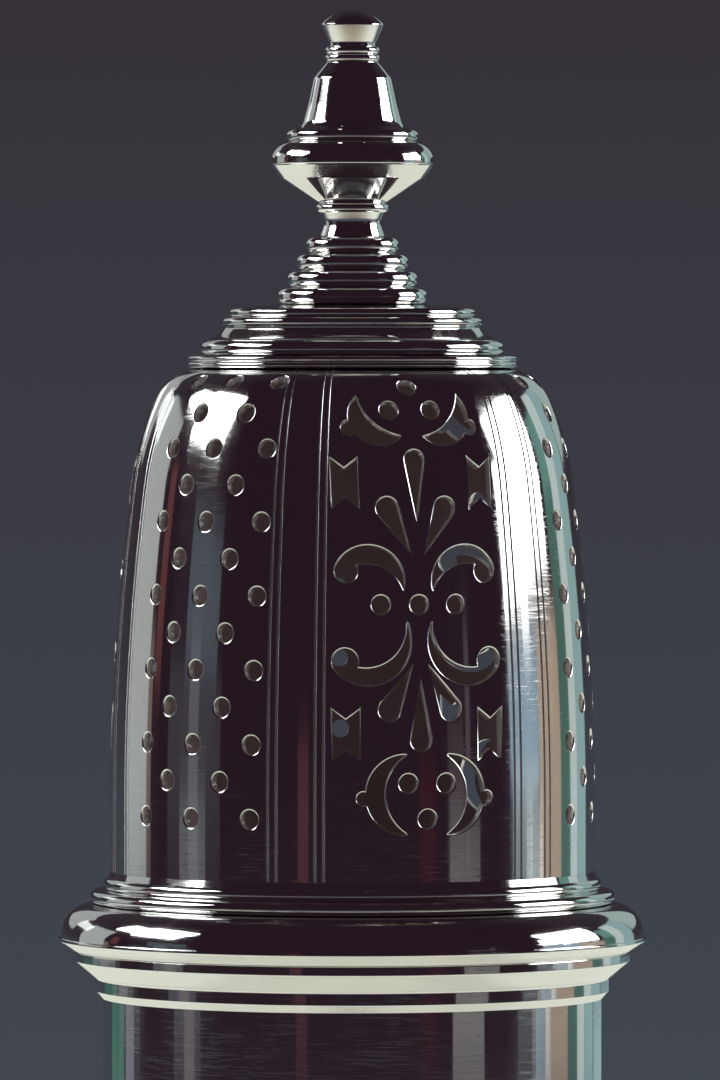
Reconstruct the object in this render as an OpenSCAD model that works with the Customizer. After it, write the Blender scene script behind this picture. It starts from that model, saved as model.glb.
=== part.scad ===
// Sugar caster of the lighthouse form: a plain cylinder on a spreading foot, closed by a
// pierced domed cover with a turned finial. The cover lifts off a neck that it fits by friction.
// The origin is the middle of the foot on the table, +Z is up and -Y is the front.

/* [Foot] */
// Height of the wire that the foot stands on
foot_wire_h = 2.2; // [1.6:0.1:3]
// Width of the wire's flat underside
foot_wire_w = 1.6; // [1:0.1:2.4]
// How far the wire reaches beyond the cylinder
foot_spread = 6.5; // [5:0.1:9]
// Height of the foot above its wire
foot_h = 11.8; // [10.5:0.1:16]
// Radius of the rounded step at the edge of the foot
foot_ovolo_r = 3.6; // [2.6:0.1:4.2]
// Radius of the hollow curve under the cylinder
foot_cove_r = 6; // [5:0.1:9]
// Diameter of the bead between the hollow curve and the cylinder
foot_bead_d = 1.4; // [1:0.1:2]
// Metal thickness of the foot
foot_t = 1.2; // [0.8:0.1:1.6]
// Width of the foot's ledge under the bottom plate
foot_ledge_w = 2.7; // [1.5:0.1:4]

/* [Body] */
// Outside diameter of the cylinder
body_d = 50; // [44:0.5:60]
// Height of the cylinder
body_h = 74; // [60:1:95]
// Metal thickness of the cylinder
wall_t = 0.9; // [0.7:0.05:1.3]
// Thickness of the bottom plate
bottom_t = 1; // [0.7:0.1:2]
// Height of the girdle's middle above the foot
girdle_at = 33; // [20:1:45]
// Diameter of the girdle's middle reed
girdle_reed_d = 2.2; // [1.4:0.1:3]
// Diameter of the fine reeds above and below it
girdle_fine_d = 1.2; // [0.8:0.1:1.8]
// How far neighbouring reeds of the girdle run into each other
girdle_lap = 0.1; // [0.05:0.01:0.2]

/* [Neck moulding] */
// How far the top band of the neck reaches beyond the cylinder
rim_proj = 2.85; // [2:0.05:3.6]
// Height of the top band
rim_band_h = 1; // [0.6:0.1:1.6]
// Height of the bevel under the top band
rim_bevel_h = 1.75; // [1:0.05:2.6]
// How far the lower band reaches beyond the cylinder
rim_low_proj = 0.75; // [0.5:0.05:1.2]
// Height of the lower band
rim_low_h = 1.25; // [0.8:0.05:2]
// Height of the last small bevel down to the cylinder
rim_end_h = 0.75; // [0.5:0.05:1.2]

/* [Cover flange] */
// Height of the flange
flange_h = 4.7; // [4:0.1:6]
// How far the flange reaches beyond the cylinder
flange_proj = 4.4; // [3.6:0.1:5.4]
// Radius of the flange's rounded upper side
flange_round_r = 3.3; // [2.4:0.1:3.6]
// Height of the bevel under the flange's edge
flange_bevel_h = 1; // [0.6:0.1:1.2]
// Width of that bevel
flange_bevel_w = 1.5; // [1:0.1:2]
// How far the thin lip above the bevel stands out beyond the rounded side
flange_lip = 0.15; // [0.1:0.05:0.3]
// Length of the sleeve that goes down into the neck
sleeve_h = 13; // [8:0.5:20]
// Metal thickness of the sleeve
sleeve_t = 0.8; // [0.6:0.05:1.1]
// Space between the sleeve and the neck, on each side
slip = 0.09; // [0.03:0.01:0.1]

/* [Dome] */
// How far the dome's wall stands out beyond the sleeve
dome_step = 0.25; // [0.1:0.05:0.4]
// Metal thickness of the dome
dome_t = 0.8; // [0.6:0.05:1]
// Height of the straight lowest part of the dome
dome_straight_h = 10.3; // [8:0.1:14]
// Height of the long slow curve above it
dome_long_h = 31.9; // [28:0.1:36]
// Lean of the wall at the top of the long curve, in degrees
dome_lean = 7.7; // [5:0.1:10]
// Radius of the shoulder curve
shoulder_r = 29.3; // [24:0.1:36]
// Lean of the wall at the top of the shoulder, in degrees
shoulder_lean = 25; // [20:0.5:30]
// Radius of the tight curve into the flat crown
crown_bend_r = 4.95; // [4:0.05:6]
// Diameter of the large reed of the wire round the foot of the dome
dome_wire_d = 1.35; // [1:0.05:1.7]
// How far this reed reaches beyond the dome
dome_wire_proj = 2.05; // [1.7:0.05:2.4]
// Diameter of its small reed
dome_wire_fine_d = 1.25; // [0.9:0.05:1.5]

/* [Piercing] */
// Number of panels of each kind round the dome
panels = 3; // [2:1:3]
// Turn of the first ornament panel from the front, in degrees
ornament_turn = 16.3; // [-30:0.1:30]
// Turn of the first panel of round holes from the front, in degrees
holes_turn = -40; // [-50:0.5:-35]
// Diameter of the round holes
hole_d = 1.85; // [1:0.05:2.2]
// Distance between the columns of holes, in degrees
column_turn = 8.15; // [7:0.05:9]
// How far a column of holes leans to the right from its foot to its top, in degrees
column_lean = 1.8; // [0:0.1:3]
// Distance between the rows of holes along the wall
row_pitch = 3.65; // [3.2:0.05:4.2]
// Height of the lowest row above the flange
first_row = 9.3; // [7:0.1:12]
// Height of the middle of the ornament above the flange
ornament_mid = 30.4; // [29:0.1:32]

/* [Cap] */
// Height of the double-reeded ring under the cap
cap_ring_h = 1.2; // [0.9:0.1:1.6]
// How far that ring reaches beyond the flat of the crown
cap_ring_over = 1.4; // [0.8:0.1:1.8]
// How far the rounded lower edge of the cap reaches beyond the flat of the crown
cap_over = 0.05; // [-0.4:0.05:0.3]
// Height of the cap
cap_h = 5.1; // [4.6:0.1:6]
// Diameter of the cap's rounded lower edge
cap_edge_d = 1.55; // [1.2:0.05:1.9]
// Diameter of each of the two reeds at the top of the cap
cap_reed_d = 0.92; // [0.7:0.02:1.1]
// How far the lower of these reeds stands back from the cap's edge
cap_reed_back = 2.15; // [1.6:0.05:3]
// How far the upper reed stands back from the lower one
cap_reed_step = 0.7; // [0.5:0.05:0.9]
// Height of the slope from the upper reed to the foot of the finial
cap_slope_h = 0.35; // [0.2:0.05:0.6]
// How far the slope between the cap's edge and its reeds is hollowed at half its length
cap_hollow = 0.18; // [0.1:0.01:0.25]
// Metal thickness of the cap
cap_t = 1.2; // [0.8:0.1:1.6]

/* [Finial] */
// Radius of the lowest reed of the bell under the knop
bell_r = 7.5; // [6:0.1:8.5]
// Radius of its highest reed
bell_top_r = 4.65; // [4:0.05:5.2]
// Height of the bell
bell_h = 6.8; // [6:0.1:8]
// Number of reeds on the bell
bell_reeds = 4; // [3:1:5]
// Radius of the knop's sharp edge
knop_r = 8.1; // [7:0.1:9.5]
// Height of the knop, from the bell to its sharp edge
knop_h = 7.1; // [6.4:0.1:8.5]
// Radius of the knop where its lower side turns up to the edge
knop_belly_r = 7.1; // [6:0.1:7.6]
// Depth of that turn below the edge
knop_belly_drop = 1.3; // [0.8:0.1:1.8]
// Radius of the narrowest part of the stem
stem_r = 2.75; // [2.4:0.05:3.1]
// Radius of the stem at its foot
stem_foot_r = 3.25; // [2.9:0.05:3.7]
// Height of the stem up to its bead
stem_h = 2.4; // [2:0.1:2.8]
// Height of the stem's narrowest part
stem_waist_h = 1.4; // [1:0.1:1.8]
// Diameter of the bead round the stem
stem_bead_d = 0.95; // [0.7:0.05:1.2]
// How far the bead reaches beyond the stem
stem_bead_proj = 0.9; // [0.7:0.05:1.1]
// Height of the spire
spire_h = 11.9; // [10.5:0.1:14]
// Height of the straight edge of the disc at its foot
disc_edge_h = 0.8; // [0.5:0.05:1.1]
// Height of the disc, with its slope up to the reed
disc_h = 2.4; // [2:0.1:2.8]
// How far that slope bows out
disc_bow = 0.3; // [0.1:0.05:0.4]
// Diameter of the reed at the foot of the spire
spire_reed_d = 1.2; // [0.9:0.05:1.5]
// Radius of the reed at the foot of the spire
spire_reed_r = 6.6; // [6.1:0.1:6.9]
// Radius of the spire at its foot
spire_r = 5.1; // [4.6:0.1:5.5]
// Radius of the spire at its shoulder
spire_top_r = 3.85; // [3.5:0.05:4.2]
// How far the spire's side is hollowed at half its height
spire_hollow = 0.06; // [0:0.01:0.15]
// Height from the shoulder to the button
spire_shoulder_h = 3.1; // [2.4:0.1:3.8]
// Diameter of each of the two beads under the button
spire_bead_d = 0.77; // [0.6:0.01:0.9]
// Height of the button
button_h = 3.7; // [3.2:0.1:4.6]
// Radius of the button
button_r = 3.15; // [2.7:0.05:3.6]
// Height of the rounded top of the button
button_crown_h = 1.5; // [1:0.1:2]
// Height of the straight part under the button
button_foot_h = 0.4; // [0.2:0.1:0.8]
// Radius of the neck under the button
neck_r = 2.35; // [2.1:0.05:2.6]
// Radius of the pegs that join the finial's pieces
peg_r = 1.5; // [1.2:0.1:1.8]
// Length of these pegs
peg_h = 2; // [1.5:0.1:2.4]

/* [Fits] */
// Space left for solder round a joined piece
solder = 0.04; // [0.02:0.01:0.08]

/* [Hidden] */

silver = [0.78, 0.78, 0.77];
far = 200;
$fn = 64;

// Shares of a reed's diameter: the depth of the groove beside it, and how far it stands out
// from the face that carries it
groove_share = 0.35;
reed_proud = 0.7;

// How far joined outlines of a cut-out reach into each other
proud = 0.01;

// Cut-outs of the ornament. A leaf is [length, width] and a block [width, height, notch].
top_leaf = [6.2, 2];
bottom_leaf = [6, 2.1];
upper_leaf = [5.1, 2.2];
lower_leaf = [5, 2.2];
upper_leaf_turn = -26.5;
lower_leaf_turn = 208;
upper_block = [2.65, 5, 1.1];
lower_block = [2.75, 5, 1.1];

// A scroll is [reach, rise, thickness, bulb diameter, angle of the bulb], and its foot is the place
// of its thin tail.
upper_scroll = [3.5, 4.45, 1.75, 2.3, 26];
lower_scroll = [3.9, 6.2, 1.65, 2.6, 41];
upper_scroll_foot = [-3.5, -2];
lower_scroll_foot = [-3.9, -3];

// A crescent is [chord, inner sag, outer sag, boss diameter, height of the boss].
upper_crescent = [5.9, 0.95, 3.1, 1.5, 1.3];
lower_crescent = [7.8, 2.2, 4.05, 1.35, -0.4];
upper_crescent_turn = -44;
upper_crescent_back = [-1, 0];
lower_crescent_back = [-2, 0];

// Places of the cut-outs on the middle line, up the wall from the middle of the panel
top_hole_at = 22;
bottom_hole_at = -21;
top_leaf_at = 14.3;
bottom_leaf_at = -13.3;

// Places of the cut-outs beside it, as [across, up the wall]
side_hole_at = [3.85, 0];
upper_hole_at = [2.15, 19.4];
lower_hole_at = [1.95, -17.5];
upper_leaf_at = [2.95, 9.5];
lower_leaf_at = [3.15, -10.3];
upper_block_at = [7.05, 12];
lower_block_at = [7.5, -12.7];
upper_scroll_at = [5, 3.4];
lower_scroll_at = [5.2, -4.7];
upper_crescent_at = [3.9, 18.1];
lower_crescent_at = [4.1, -18.6];

// How far the cut-outs at the foot of the panel lie to the right of its middle line
low_across = 0.6;

body_r = body_d / 2;
bore_r = body_r - wall_t;
sleeve_r = bore_r - slip;
sleeve_bore_r = sleeve_r - sleeve_t;
dome_r = sleeve_r + dome_step;

body_z = foot_wire_h + foot_h;
seam_z = body_z + body_h;
dome_z = seam_z + flange_h;

// The dome's outline is a straight line and three arcs, each tangent to the last.
// Each arc is [radius, lean at its lower end, lean at its upper end].
dome_arcs = [[dome_long_h / sin(dome_lean), 0, dome_lean],
             [shoulder_r, dome_lean, shoulder_lean],
             [crown_bend_r, shoulder_lean, 90]];

function arc_rise(arc) = arc[0] * (sin(arc[2]) - sin(arc[1]));
function arc_run(arc) = arc[0] * (cos(arc[1]) - cos(arc[2]));
function arc_length(arc) = arc[0] * (arc[2] - arc[1]) * PI / 180;
function sum(list, n) = n == 0 ? 0 : list[n - 1] + sum(list, n - 1);

rises = [for (arc = dome_arcs) arc_rise(arc)];
runs = [for (arc = dome_arcs) arc_run(arc)];
lengths = [for (arc = dome_arcs) arc_length(arc)];

arc_z = [for (i = [0:3]) dome_z + dome_straight_h + sum(rises, i)];
arc_r = [for (i = [0:3]) dome_r - sum(runs, i)];
arc_start = [for (i = [0:3]) dome_straight_h + sum(lengths, i)];

crown_r = arc_r[3];
crown_z = arc_z[3];
cap_z = crown_z + cap_ring_h;
bell_z = cap_z + cap_h;
knop_z = bell_z + bell_h;
spire_z = knop_z + knop_h;
button_z = spire_z + spire_h;

// Place on the dome's outer face at a length s along the wall, as [radius, height, lean].
function on_arc(i, s) =
    let (lean = dome_arcs[i][1] + (s - arc_start[i]) / dome_arcs[i][0] * 180 / PI,
         so_far = [dome_arcs[i][0], dome_arcs[i][1], lean])
    [arc_r[i] - arc_run(so_far), arc_z[i] + arc_rise(so_far), lean];
function on_dome(s) =
    s <= arc_start[0] ? [dome_r, dome_z + s, 0]
    : s <= arc_start[1] ? on_arc(0, s)
    : s <= arc_start[2] ? on_arc(1, s)
    : on_arc(2, s);

// A piece turned round the axis from an outline in the XZ plane
module turned() {
    color(silver) rotate_extrude() children();
}

// Rectangle of an outline, between two radii and two heights
module band(r0, r1, z0, z1) {
    polygon([[r0, z0], [r1, z0], [r1, z1], [r0, z1]]);
}

// Round reed whose outermost point is at a radius and whose middle is at a height
module reed(r, z, d) {
    translate([r - d / 2, z]) circle(d = d);
}

// Radius of the floor of the groove beside a reed
function groove_r(r, d) = r - groove_share * d;

// Radius of an arc with half a chord and a sag
function bow_r(half, sag) = (half * half + sag * sag) / (2 * sag);

// Convex quarter round that rises from the point [r + radius, z]
module quarter_round(r, z, radius) {
    intersection() {
        translate([r, z]) circle(radius);
        band(r, r + radius, z, z + radius);
    }
}

// Foot

module foot_wire() {
    tip_r = body_r + foot_spread;
    flat_r = groove_r(tip_r, foot_wire_h);
    turned() {
        band(flat_r - foot_wire_w, flat_r, 0, foot_wire_h);
        reed(tip_r, foot_wire_h / 2, foot_wire_h);
    }
}

// Outer form of the foot, filled in to the axis
module foot_outline() {
    edge_r = body_r + foot_spread - foot_wire_h / 4;
    step_r = edge_r - foot_ovolo_r;
    waist_r = body_r + foot_bead_d / 4;
    waist_z = body_z - foot_bead_d;
    band(0, step_r, foot_wire_h, foot_wire_h + foot_ovolo_r);
    quarter_round(step_r, foot_wire_h, foot_ovolo_r);
    difference() {
        band(0, step_r, foot_wire_h, waist_z);
        translate([waist_r + foot_cove_r, waist_z]) circle(foot_cove_r);
    }
    bead_r = waist_r + reed_proud * foot_bead_d;
    band(0, groove_r(bead_r, foot_bead_d), waist_z, body_z);
    reed(bead_r, body_z - foot_bead_d / 2, foot_bead_d);
}

module foot() {
    turned() difference() {
        foot_outline();
        translate([-foot_t, -foot_t]) foot_outline();
        band(0, bore_r - foot_ledge_w, 0, far);
    }
}

// Body

module body_bottom() {
    turned() band(0, bore_r - solder, body_z, body_z + bottom_t);
}

module body_wall() {
    turned() band(bore_r, body_r, body_z, seam_z);
}

module body_girdle() {
    inner_r = body_r + solder;
    middle_z = body_z + girdle_at;
    fine_off = (girdle_reed_d + girdle_fine_d) / 2 - girdle_lap;
    turned() intersection() {
        union() {
            reed(inner_r + reed_proud * girdle_reed_d, middle_z, girdle_reed_d);
            for (side = [-1, 1])
                reed(inner_r + reed_proud * girdle_fine_d, middle_z + side * fine_off,
                     girdle_fine_d);
        }
        band(inner_r, inner_r + far, 0, far);
    }
}

module body_rim() {
    inner_r = body_r + solder;
    top_r = body_r + rim_proj;
    low_r = body_r + rim_low_proj;
    bevel_z = seam_z - rim_band_h;
    low_z = bevel_z - rim_bevel_h;
    end_z = low_z - rim_low_h;
    turned() polygon([
        [inner_r, seam_z],
        [top_r, seam_z],
        [top_r, bevel_z],
        [low_r, low_z],
        [low_r, end_z],
        [inner_r + solder, end_z - rim_end_h],
        [inner_r, end_z - rim_end_h]
    ]);
}

// Cover

module cover_sleeve() {
    lead = sleeve_t / 2;
    foot_z = seam_z - sleeve_h;
    turned() polygon([
        [sleeve_bore_r, dome_z],
        [sleeve_r, dome_z],
        [sleeve_r, foot_z + lead],
        [sleeve_r - lead, foot_z],
        [sleeve_bore_r, foot_z]
    ]);
}

module cover_flange() {
    inner_r = sleeve_r + solder;
    edge_r = body_r + flange_proj;
    round_r = edge_r - flange_lip - flange_round_r;
    round_z = dome_z - flange_round_r;
    turned() {
        band(inner_r, round_r, seam_z, dome_z);
        quarter_round(round_r, round_z, flange_round_r);
        polygon([
            [inner_r, seam_z],
            [edge_r - flange_bevel_w, seam_z],
            [edge_r, seam_z + flange_bevel_h],
            [edge_r, round_z],
            [inner_r, round_z]
        ]);
    }
}

module dome_wire() {
    inner_r = dome_r + solder;
    large_r = dome_r + dome_wire_proj;
    fine_z = dome_z + dome_wire_d + dome_wire_fine_d / 2;
    turned() intersection() {
        union() {
            band(inner_r, groove_r(large_r, dome_wire_d), dome_z, dome_z + dome_wire_d);
            band(inner_r, inner_r + dome_wire_fine_d / 4, dome_z, fine_z);
            reed(large_r, dome_z + dome_wire_d / 2, dome_wire_d);
            reed(inner_r + dome_wire_fine_d / 2, fine_z, dome_wire_fine_d);
            polygon([
                [inner_r, fine_z],
                [inner_r + dome_wire_fine_d / 3, fine_z],
                [inner_r, fine_z + dome_wire_fine_d]
            ]);
        }
        band(inner_r, inner_r + far, 0, far);
    }
}

// Points along one arc of the dome, at a depth below its outer face
function arc_points(i, depth) =
    let (arc = dome_arcs[i],
         steps = ceil((arc[2] - arc[1]) / 8) + 2,
         centre = [arc_r[i] - arc[0] * cos(arc[1]), arc_z[i] - arc[0] * sin(arc[1])])
    [for (k = [0:steps])
        let (lean = arc[1] + (arc[2] - arc[1]) * k / steps)
        centre + (arc[0] - depth) * [cos(lean), sin(lean)]];

// Outline of one face of the dome, from the flange to the edge of the hole in the crown.
// Each arc starts at the end of the one before it, so its first point is left out.
function dome_face(depth) = [
    [dome_r - depth, dome_z],
    [dome_r - depth, arc_z[0]],
    for (i = [0:2], p = [1:len(arc_points(i, depth)) - 1]) arc_points(i, depth)[p],
    [peg_r + solder, crown_z - depth]
];

function reversed(list) = [for (i = [len(list) - 1:-1:0]) list[i]];

module dome_shell() {
    rotate_extrude() polygon(concat(dome_face(0), reversed(dome_face(dome_t))));
}

// Sets a flat outline on the dome's face and takes it through the wall. The outline's X axis
// points to the right as seen from outside, and its Y axis up the wall.
module pierce(turn, s) {
    spot = on_dome(s);
    depth = 3 * dome_t;
    rotate([0, 0, turn - 90])
        translate([spot[0], 0, spot[1]])
            rotate([0, -spot[2], 0])
                rotate([90, 0, 90])
                    linear_extrude(2 * depth, center = true) children();
}

// The same, at a distance across the wall from the middle of a panel
module pierce_beside(turn, across, s) {
    pierce(turn + across / on_dome(s)[0] * 180 / PI, s) children();
}

// The same, on both sides of the middle line of an ornament panel, with the left one mirrored.
// The whole pair can lie to one side of that line.
module pierce_pair(turn, at, across = 0) {
    for (side = [-1, 1])
        pierce_beside(turn, across + side * at[0], ornament_mid + at[1])
            mirror([side < 0 ? 1 : 0, 0, 0]) children();
}

// Panel of round holes in staggered rows: three in one row and two in the next
module hole_panel(turn) {
    last_row = arc_start[2] + crown_bend_r / 2;
    rows = floor((last_row - first_row) / row_pitch);
    for (row = [0:rows]) {
        lean = column_lean * (row / rows - 0.5);
        for (column = row % 2 == 0 ? [-2, 0, 2] : [-1, 1])
            pierce(turn + column * column_turn + lean, first_row + row * row_pitch)
                circle(d = hole_d);
    }
}

// Leaf with its round end at the origin and its point at a distance below it
module leaf(size) {
    r = size[1] / 2;
    tilt = asin(r / size[0]);
    base = (r - proud) * [cos(tilt), -sin(tilt)];
    circle(r);
    polygon([[-base[0], base[1]], [0, -size[0]], base]);
}

// Rectangle with a notch in its top and bottom edges
module notched_block(size) {
    w = size[0];
    h = size[1];
    notch = size[2];
    polygon([
        [-w / 2, -h / 2],
        [0, notch - h / 2],
        [w / 2, -h / 2],
        [w / 2, h / 2],
        [0, h / 2 - notch],
        [-w / 2, h / 2]
    ]);
}

// Crescent that bulges to +X from a chord along Y, with a boss on its back
module crescent(size) {
    inner_sag = size[1];
    outer_sag = size[2];
    boss_d = size[3];
    boss_y = size[4];
    outer_r = bow_r(size[0] / 2, outer_sag);
    inner_r = bow_r(size[0] / 2, inner_sag);
    boss_x = outer_sag - outer_r + sqrt(outer_r * outer_r - boss_y * boss_y);
    difference() {
        translate([outer_sag - outer_r, 0]) circle(outer_r);
        translate([inner_sag - inner_r, 0]) circle(inner_r);
    }
    translate([boss_x + boss_d / 5, boss_y]) circle(d = boss_d);
}

// Scroll with its thin tail at the origin. It rises to the right, arches over and ends in a
// round bulb, which lies at an angle from the arch's centre.
module scroll(size) {
    reach = size[0];
    rise = size[1];
    thick = size[2];
    bulb_d = size[3];
    aim = [cos(size[4]), sin(size[4])];
    taper = thick / 6;
    outer_r = bow_r(reach, rise);
    inner_r = bow_r(reach + taper, rise - thick);
    centre = [reach, rise - outer_r];
    away = 3 * outer_r;
    difference() {
        translate(centre) circle(outer_r);
        translate([reach + taper, rise - thick - inner_r]) circle(inner_r);
        translate(centre) polygon([[0, 0], away * aim, [away, -away], [0, -away]]);
    }
    translate(centre + (outer_r - bulb_d / 2 + proud) * aim) circle(d = bulb_d);
}

// Panel of scrolling foliage
module ornament_panel(turn) {
    for (at = [0, top_hole_at]) pierce(turn, ornament_mid + at) circle(d = hole_d);
    pierce_beside(turn, low_across, ornament_mid + bottom_hole_at) circle(d = hole_d);
    pierce(turn, ornament_mid + top_leaf_at) leaf(top_leaf);
    pierce(turn, ornament_mid + bottom_leaf_at) rotate(180) leaf(bottom_leaf);
    for (at = [side_hole_at, upper_hole_at]) pierce_pair(turn, at) circle(d = hole_d);
    pierce_pair(turn, lower_hole_at, low_across) circle(d = hole_d);
    pierce_pair(turn, upper_leaf_at) rotate(upper_leaf_turn) leaf(upper_leaf);
    pierce_pair(turn, lower_leaf_at) rotate(lower_leaf_turn) leaf(lower_leaf);
    pierce_pair(turn, upper_block_at) notched_block(upper_block);
    pierce_pair(turn, lower_block_at) notched_block(lower_block);
    pierce_pair(turn, upper_scroll_at) translate(upper_scroll_foot) scroll(upper_scroll);
    pierce_pair(turn, lower_scroll_at)
        mirror([0, 1, 0]) translate(lower_scroll_foot) scroll(lower_scroll);
    pierce_pair(turn, upper_crescent_at)
        rotate(upper_crescent_turn) translate(upper_crescent_back) crescent(upper_crescent);
    pierce_pair(turn, lower_crescent_at, low_across)
        translate(lower_crescent_back) crescent(lower_crescent);
}

module cover_dome() {
    color(silver) difference() {
        dome_shell();
        for (panel = [0:panels - 1]) {
            hole_panel(holes_turn + panel * 360 / panels);
            ornament_panel(ornament_turn + panel * 360 / panels);
        }
    }
}

module cap_ring() {
    reed_d = cap_ring_h / 2;
    edge_r = crown_r + cap_ring_over;
    turned() {
        band(crown_r - 2 * cap_ring_over, groove_r(edge_r, reed_d), crown_z, cap_z);
        for (level = [0.5, 1.5]) reed(edge_r, crown_z + level * reed_d, reed_d);
    }
}

module cover_cap() {
    edge_r = crown_r + cap_over;
    low_r = edge_r - cap_reed_back;
    high_r = low_r - cap_reed_step;
    slope_z = cap_z + cap_edge_d;
    reeds_z = bell_z - cap_slope_h - 2 * cap_reed_d;
    slope_r = groove_r(edge_r, cap_edge_d);
    reeds_r = groove_r(low_r, cap_reed_d);
    rise = [slope_r - reeds_r, reeds_z - slope_z];
    hollow_r = bow_r(norm(rise) / 2, cap_hollow);
    hollow_at = [slope_r + reeds_r, slope_z + reeds_z] / 2
        + (hollow_r - cap_hollow) * [rise[1], rise[0]] / norm(rise);
    turned() difference() {
        union() {
            band(0, slope_r, cap_z, slope_z);
            reed(edge_r, cap_z + cap_edge_d / 2, cap_edge_d);
            difference() {
                polygon([[0, slope_z], [slope_r, slope_z], [reeds_r, reeds_z], [0, reeds_z]]);
                translate(hollow_at) circle(hollow_r);
            }
            band(0, reeds_r, reeds_z, reeds_z + cap_reed_d);
            reed(low_r, reeds_z + cap_reed_d / 2, cap_reed_d);
            reed(high_r, reeds_z + 1.5 * cap_reed_d, cap_reed_d);
            polygon([
                [0, reeds_z],
                [groove_r(high_r, cap_reed_d), reeds_z],
                [groove_r(high_r, cap_reed_d), reeds_z + 2 * cap_reed_d],
                [bell_r, bell_z],
                [0, bell_z]
            ]);
        }
        band(0, peg_r + solder, 0, far);
        band(0, low_r - 2 * cap_t, cap_z - cap_t, bell_z - cap_t);
    }
}

// Finial

// Peg below a piece, which goes into the socket of the piece under it
module peg(z, length) {
    band(0, peg_r, z - length, z + peg_h / 4);
}

// Socket in the top of a piece
module socket(z) {
    band(0, peg_r + solder, z - peg_h - solder, z + far);
}

module finial_bell() {
    reed_h = bell_h / bell_reeds;
    step = (bell_r - bell_top_r) / (bell_reeds - 1);
    turned() difference() {
        union() {
            for (i = [0:bell_reeds - 1]) {
                reed_r = bell_r - i * step;
                reed_z = bell_z + i * reed_h;
                band(0, groove_r(reed_r, reed_h), reed_z, reed_z + reed_h);
                reed(reed_r, reed_z + reed_h / 2, reed_h);
            }
            peg(bell_z, bell_z - crown_z + dome_t + peg_h / 4);
        }
        socket(knop_z);
    }
}

module finial_knop() {
    bead_z = knop_z + stem_h + stem_bead_d / 2;
    cone_z = bead_z + stem_bead_d / 2;
    bead_r = stem_r + stem_bead_proj;
    turned() difference() {
        union() {
            polygon([
                [0, knop_z],
                [stem_foot_r, knop_z],
                [stem_r, knop_z + stem_waist_h],
                [groove_r(bead_r, stem_bead_d), bead_z],
                [groove_r(bead_r, stem_bead_d), cone_z],
                [knop_belly_r, spire_z - knop_belly_drop],
                [knop_r, spire_z],
                [0, spire_z]
            ]);
            reed(bead_r, bead_z, stem_bead_d);
            peg(knop_z, peg_h);
        }
        socket(spire_z);
    }
}

module finial_spire() {
    slope_z = spire_z + disc_h;
    cone_z = slope_z + spire_reed_d;
    shoulder_z = button_z - spire_shoulder_h;
    bead_z = button_z - 2 * spire_bead_d;
    bead_r = neck_r + spire_bead_d / 2;
    waist_r = (spire_r + spire_top_r) / 2 - spire_hollow;
    edge = [knop_r, spire_z + disc_edge_h];
    slope = [spire_reed_r, slope_z] - edge;
    slope_out = [slope[1], -slope[0]] / norm(slope);
    slope_bow = bow_r(norm(slope) / 2, disc_bow);
    turned() difference() {
        union() {
            polygon([
                [0, spire_z],
                [knop_r, spire_z],
                edge,
                edge + slope,
                [0, slope_z]
            ]);
            intersection() {
                translate(edge + slope / 2 - (slope_bow - disc_bow) * slope_out) circle(slope_bow);
                band(0, knop_r, edge[1], slope_z);
            }
            band(0, groove_r(spire_reed_r, spire_reed_d), slope_z, cone_z);
            reed(spire_reed_r, slope_z + spire_reed_d / 2, spire_reed_d);
            polygon([
                [0, cone_z],
                [spire_r, cone_z],
                [waist_r, (cone_z + shoulder_z) / 2],
                [spire_top_r, shoulder_z],
                [groove_r(bead_r, spire_bead_d), bead_z],
                [neck_r, button_z],
                [0, button_z]
            ]);
            for (level = [0.5, 1.5]) reed(bead_r, bead_z + level * spire_bead_d, spire_bead_d);
            peg(spire_z, peg_h);
        }
        socket(button_z);
    }
}

module finial_button() {
    top_z = button_z + button_h;
    rim_z = top_z - button_crown_h;
    ball_r = bow_r(button_r, button_crown_h);
    turned() {
        polygon([
            [0, button_z],
            [neck_r, button_z],
            [neck_r, button_z + button_foot_h],
            [button_r, rim_z],
            [0, rim_z]
        ]);
        intersection() {
            translate([0, top_z - ball_r]) circle(ball_r);
            band(0, button_r, rim_z, top_z);
        }
        peg(button_z, peg_h);
    }
}

foot_wire();
foot();
body_bottom();
body_wall();
body_girdle();
body_rim();
cover_sleeve();
cover_flange();
dome_wire();
cover_dome();
cap_ring();
cover_cap();
finial_bell();
finial_knop();
finial_spire();
finial_button();
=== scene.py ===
import math

import bmesh
import bpy
import numpy as np
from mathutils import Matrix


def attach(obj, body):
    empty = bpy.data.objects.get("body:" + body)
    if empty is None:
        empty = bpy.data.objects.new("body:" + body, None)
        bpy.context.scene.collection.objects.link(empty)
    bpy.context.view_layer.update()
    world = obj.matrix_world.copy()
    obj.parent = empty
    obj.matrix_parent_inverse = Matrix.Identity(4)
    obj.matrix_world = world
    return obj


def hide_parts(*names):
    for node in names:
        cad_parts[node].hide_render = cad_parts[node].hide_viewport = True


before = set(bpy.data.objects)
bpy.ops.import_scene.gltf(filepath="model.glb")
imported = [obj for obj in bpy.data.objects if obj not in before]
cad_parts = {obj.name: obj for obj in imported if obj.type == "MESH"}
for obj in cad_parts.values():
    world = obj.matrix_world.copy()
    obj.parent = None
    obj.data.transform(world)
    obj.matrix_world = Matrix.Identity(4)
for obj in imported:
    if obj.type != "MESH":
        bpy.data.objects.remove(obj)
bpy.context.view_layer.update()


# Foot
# The foot is a shell of sheet silver, turned to an ovolo below and a hollow above, with a bead under
# the body. A drawn half-round wire is soldered round its edge, and the caster stands on it.

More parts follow.
